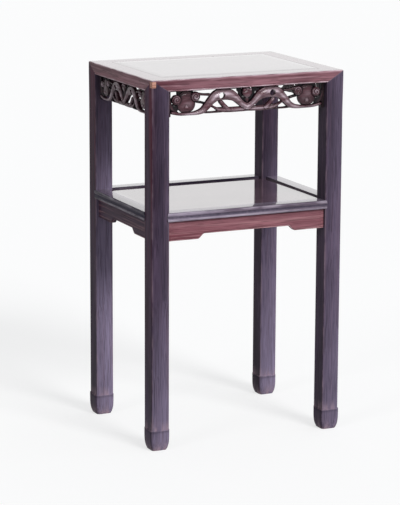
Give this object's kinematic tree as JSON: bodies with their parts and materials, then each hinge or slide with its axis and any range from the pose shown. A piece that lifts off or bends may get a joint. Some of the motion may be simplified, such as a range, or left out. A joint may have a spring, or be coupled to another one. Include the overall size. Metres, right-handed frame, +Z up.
{
  "type": "hardwood stand",
  "caption": "Tall Chinese hardwood stand with square legs, a mitred framed top, pierced scroll-carved aprons, a moulded shelf and bracket aprons.",
  "frame": {"origin": "on the floor, under the middle of the stand", "axes": "+Z up; the front, one of the two long sides, faces -Y; +X to the right seen from the front"},
  "size_m": [0.454, 0.354, 0.8],
  "materials": {
    "leg_wood": "polished dark hardwood, worn redder at the arrises",
    "top_wood": "polished red-brown hardwood",
    "panel_wood": "polished hardwood board, glossy",
    "carved_wood": "dark carved hardwood, polished on the high parts",
    "shelf_wood": "polished dark hardwood with a moulded face",
    "bracket_wood": "polished red-brown hardwood with dark grain",
    "inner_wood": "unpolished hardwood",
    "patch_wood": "pale bare wood"
  },
  "bodies": {
    "root": {"front_left_leg": "leg_wood", "front_right_leg": "leg_wood", "back_left_leg": "leg_wood", "back_right_leg": "leg_wood", "top_front_rail": "top_wood", "top_right_rail": "top_wood", "top_back_rail": "top_wood", "top_left_rail": "top_wood", "top_panel": "panel_wood", "top_batten": "inner_wood", "carved_front_apron": "carved_wood", "carved_right_apron": "carved_wood", "carved_back_apron": "carved_wood", "carved_left_apron": "carved_wood", "shelf_front_rail": "shelf_wood", "shelf_right_rail": "shelf_wood", "shelf_back_rail": "shelf_wood", "shelf_left_rail": "shelf_wood", "shelf_panel": "panel_wood", "shelf_batten": "inner_wood", "bracket_front_apron": "bracket_wood", "bracket_right_apron": "bracket_wood", "bracket_back_apron": "bracket_wood", "bracket_left_apron": "bracket_wood", "corner_patch": "patch_wood"}
  },
  "joints": []
}
